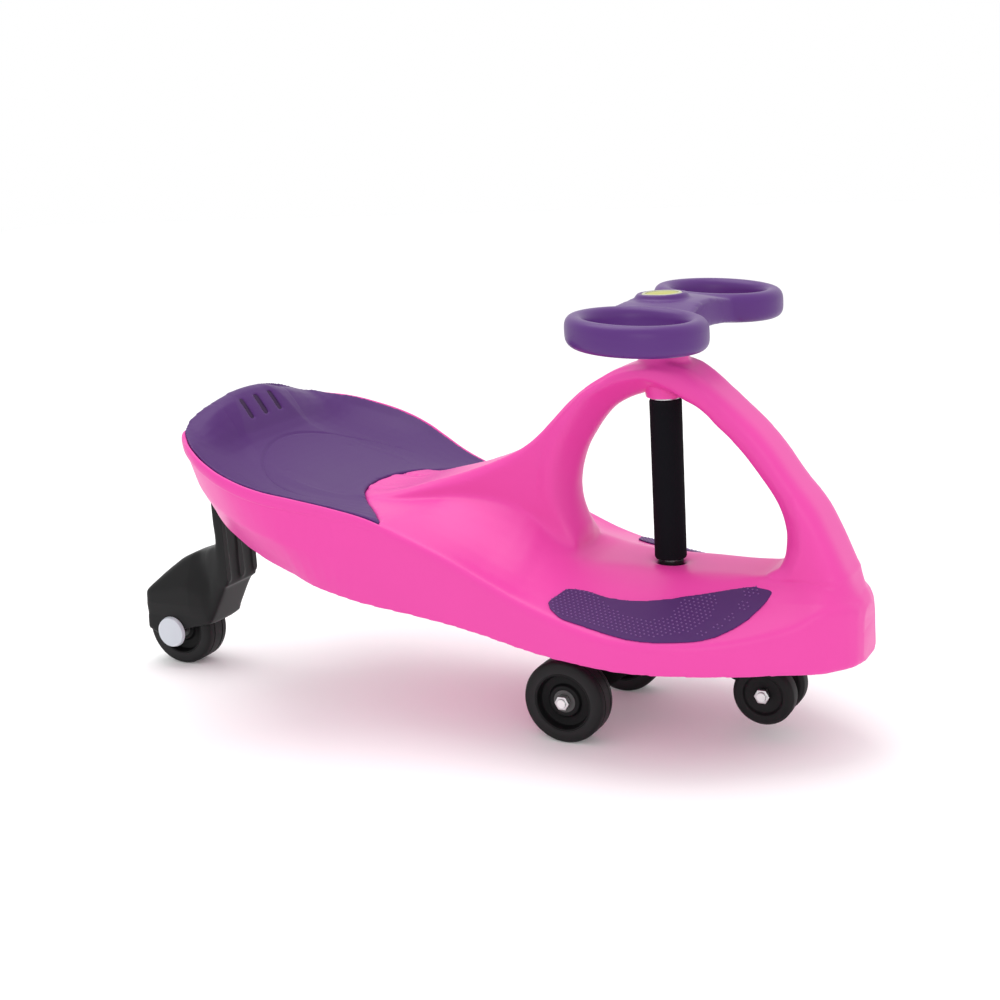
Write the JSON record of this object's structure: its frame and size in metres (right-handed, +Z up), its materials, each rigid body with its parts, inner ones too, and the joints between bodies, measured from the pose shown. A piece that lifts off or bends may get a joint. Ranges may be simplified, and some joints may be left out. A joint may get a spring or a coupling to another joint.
{
  "type": "swing-steered ride-on car",
  "caption": "Low ride-on toy car with a dished seat, a looped front arch, an upright steering column that turns a wheeled carriage, and a trailing rear wheel under a hood.",
  "frame": {"origin": "on the floor below the middle of the car's overall length and width", "axes": "+X towards the nose, +Y to the rider's left, +Z up"},
  "size_m": [0.8223, 0.344, 0.419],
  "materials": {
    "hull_plastic": "satin moulded",
    "seat_plastic": "fine moulded grain",
    "badge_plastic": "smooth",
    "dark_plastic": "fine moulded grain",
    "grip_foam": "soft closed-cell foam",
    "cap_plastic": "smooth",
    "wheel_rubber": "moulded",
    "wheel_core": "moulded",
    "steel": "bright zinc plate",
    "bearing_steel": "ground"
  },
  "bodies": {
    "frame": {"body_shell": "hull_plastic", "seat": "seat_plastic", "foot_pad_right": "seat_plastic", "foot_pad_left": "seat_plastic", "upper_bush": "dark_plastic", "lower_bush": "dark_plastic", "rear_bracket": "dark_plastic", "rear_axle": "steel", "rear_spacer_right": "steel", "rear_spacer_left": "steel", "rear_cap_right": "cap_plastic", "rear_cap_left": "cap_plastic", "bracket_bolt_rr": "steel", "bracket_bolt_rl": "steel", "bracket_bolt_fr": "steel", "bracket_bolt_fl": "steel", "seat_screw_right": "steel", "seat_screw_left": "steel"},
    "steering": {"shaft": "steel", "column_grip": "grip_foam", "column_ring": "steel", "steering_wheel": "seat_plastic", "badge": "badge_plastic", "steering_bolt": "steel", "carriage": "dark_plastic", "clamp_bolt": "steel", "main_axle": "steel", "main_spacer_right": "steel", "main_spacer_left": "steel", "main_nut_right": "steel", "main_nut_left": "steel", "small_axle": "steel", "small_nut_right": "steel", "small_nut_left": "steel"},
    "main_wheel_right_body": {"main_tyre_right": "wheel_rubber", "main_hub_right": "wheel_core", "main_bearing_right": "bearing_steel", "main_bearing_inner_right": "bearing_steel"},
    "main_wheel_left_body": {"main_tyre_left": "wheel_rubber", "main_hub_left": "wheel_core", "main_bearing_left": "bearing_steel", "main_bearing_inner_left": "bearing_steel"},
    "small_wheel_right_body": {"small_wheel_right": "wheel_rubber"},
    "small_wheel_left_body": {"small_wheel_left": "wheel_rubber"},
    "rear_wheel_body": {"rear_tyre": "wheel_rubber", "rear_hub": "wheel_core", "rear_bearing_right": "bearing_steel", "rear_bearing_left": "bearing_steel"}
  },
  "joints": [
    {"name": "steering", "type": "hinge", "parent": "frame", "child": "steering", "pos_m": [0.221, 0, 0.2], "axis": [0, 0, 1], "continuous": true},
    {"name": "main_spin_right", "type": "hinge", "parent": "steering", "child": "main_wheel_right_body", "pos_m": [0.14, -0.0716, 0.041], "axis": [0, 1, 0], "continuous": true},
    {"name": "main_spin_left", "type": "hinge", "parent": "steering", "child": "main_wheel_left_body", "pos_m": [0.14, 0.0716, 0.041], "axis": [0, 1, 0], "continuous": true},
    {"name": "small_spin_right", "type": "hinge", "parent": "steering", "child": "small_wheel_right_body", "pos_m": [0.317, -0.017, 0.0475], "axis": [0, 1, 0], "continuous": true},
    {"name": "small_spin_left", "type": "hinge", "parent": "steering", "child": "small_wheel_left_body", "pos_m": [0.317, 0.017, 0.0475], "axis": [0, 1, 0], "continuous": true},
    {"name": "rear_spin", "type": "hinge", "parent": "frame", "child": "rear_wheel_body", "pos_m": [-0.369, 0, 0.0423], "axis": [0, 1, 0], "continuous": true}
  ]
}
